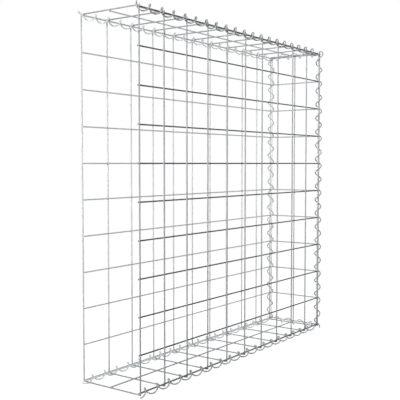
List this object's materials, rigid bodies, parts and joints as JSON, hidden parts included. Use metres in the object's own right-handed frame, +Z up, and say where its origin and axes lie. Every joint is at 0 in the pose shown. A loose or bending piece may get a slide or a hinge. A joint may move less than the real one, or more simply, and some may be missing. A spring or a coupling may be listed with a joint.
{
  "type": "gabion basket",
  "caption": "Empty welded-mesh gabion basket, tall and narrow: mesh panels laced at the edges by wire spirals, with an open end that laces on to the next bay of a wall.",
  "frame": {"origin": "on the ground under the middle of the bay, at the bottom centre of the bounding box", "axes": "+X along the wall towards the closed end, +Y from the front mesh to the back mesh, +Z up"},
  "size_m": [1.02, 0.236, 1.03],
  "materials": {
    "mesh_wire": "galvanised, satin",
    "spiral_wire": "galvanised, satin"
  },
  "bodies": {
    "root": {"front_panel": "mesh_wire", "back_panel": "mesh_wire", "lid_panel": "mesh_wire", "base_panel": "mesh_wire", "end_panel": "mesh_wire", "top_front_spiral": "spiral_wire", "top_back_spiral": "spiral_wire", "top_end_spiral": "spiral_wire", "base_front_spiral": "spiral_wire", "base_back_spiral": "spiral_wire", "base_end_spiral": "spiral_wire", "front_corner_spiral": "spiral_wire", "back_corner_spiral": "spiral_wire"}
  },
  "joints": []
}
